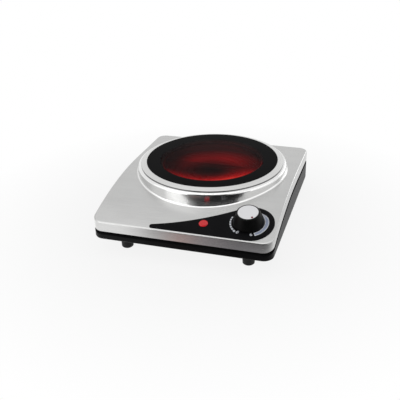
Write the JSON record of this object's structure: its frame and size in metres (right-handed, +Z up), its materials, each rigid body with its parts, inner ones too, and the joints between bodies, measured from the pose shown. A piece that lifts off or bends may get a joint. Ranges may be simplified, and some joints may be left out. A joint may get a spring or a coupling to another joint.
{
  "type": "hot plate burner",
  "caption": "Countertop hot plate: a rounded steel cover with a raised round glass burner over a radiant coil, a black base tray on feet, and a turning dial with a pilot lamp.",
  "frame": {"origin": "on the floor that the feet stand on, under the middle of the body's plan", "axes": "+Z up, +Y to the back, +X to the right as seen from the dial's side"},
  "size_m": [0.207, 0.228, 0.0727],
  "materials": {
    "brushed_cover": "brushed stainless sheet",
    "brushed_ring": "turned stainless ring",
    "dark_glass": "polished black glass ceramic",
    "seal_fibre": "woven glass fibre",
    "plain_steel": "plain steel sheet",
    "insulation": "pressed fibre board",
    "coil_ribbon": "resistance ribbon, glowing in use",
    "quartz": "clear tube",
    "white_ceramic": "unglazed",
    "brass": "plain",
    "zinc_fasteners": "zinc plated",
    "black_base": "fine matt moulding",
    "black_rubber": "matt",
    "black_panel": "satin black",
    "black_knob": "satin black",
    "silver_cap": "fine spun",
    "red_mark": "enamel dot",
    "red_lens": "clear red moulding",
    "white_plastic": "heat resisting moulding",
    "brown_wire": "silicone sleeve",
    "blue_wire": "silicone sleeve",
    "green_wire": "silicone sleeve"
  },
  "bodies": {
    "body": {"top_cover": "brushed_cover", "trim_ring": "brushed_ring", "glass_plate": "dark_glass", "glass_seal": "seal_fibre", "heater_pan": "plain_steel", "heat_shield": "plain_steel", "heater_bracket": "plain_steel", "shield_spacer": "plain_steel", "cover_posts": "plain_steel", "pilot_clip": "plain_steel", "insulation_base": "insulation", "insulation_ring": "insulation", "heating_coil": "coil_ribbon", "limiter_tube": "quartz", "neon_bulb": "quartz", "limiter_head": "white_ceramic", "heater_connector": "white_ceramic", "thermostat_housing": "white_ceramic", "connector_tabs": "brass", "thermostat_bushing": "brass", "thermostat_tabs": "brass", "earth_lug": "brass", "terminal_screws": "brass", "cover_screws": "zinc_fasteners", "ring_studs": "zinc_fasteners", "ring_nuts": "zinc_fasteners", "heater_stud": "zinc_fasteners", "heater_nut": "zinc_fasteners", "bracket_screws": "zinc_fasteners", "bracket_nuts": "zinc_fasteners", "earth_screw": "zinc_fasteners", "foot_studs": "zinc_fasteners", "foot_nuts": "zinc_fasteners", "bushing_nut": "zinc_fasteners", "block_screws": "zinc_fasteners", "base_tray": "black_base", "cord_inlet": "black_base", "inlet_nut": "black_base", "foot_front_left": "black_rubber", "foot_front_right": "black_rubber", "foot_rear_left": "black_rubber", "foot_rear_right": "black_rubber", "control_panel": "black_panel", "pilot_lens": "red_lens", "terminal_block": "white_plastic", "pilot_housing": "white_plastic", "live_wire": "brown_wire", "switched_wire": "brown_wire", "limiter_wire": "brown_wire", "lamp_live_wire": "brown_wire", "neutral_wire": "blue_wire", "lamp_neutral_wire": "blue_wire", "earth_wire": "green_wire"},
    "dial": {"thermostat_shaft": "zinc_fasteners", "knob": "black_knob", "knob_cap": "silver_cap", "knob_pointer": "red_mark", "knob_clip": "plain_steel"}
  },
  "joints": [
    {"name": "knob_turn", "type": "hinge", "parent": "body", "child": "dial", "pos_m": [0.0717, -0.0871, 0.04954], "axis": [0, -0.2315, 0.9728], "range_deg": [-18, 291]}
  ]
}
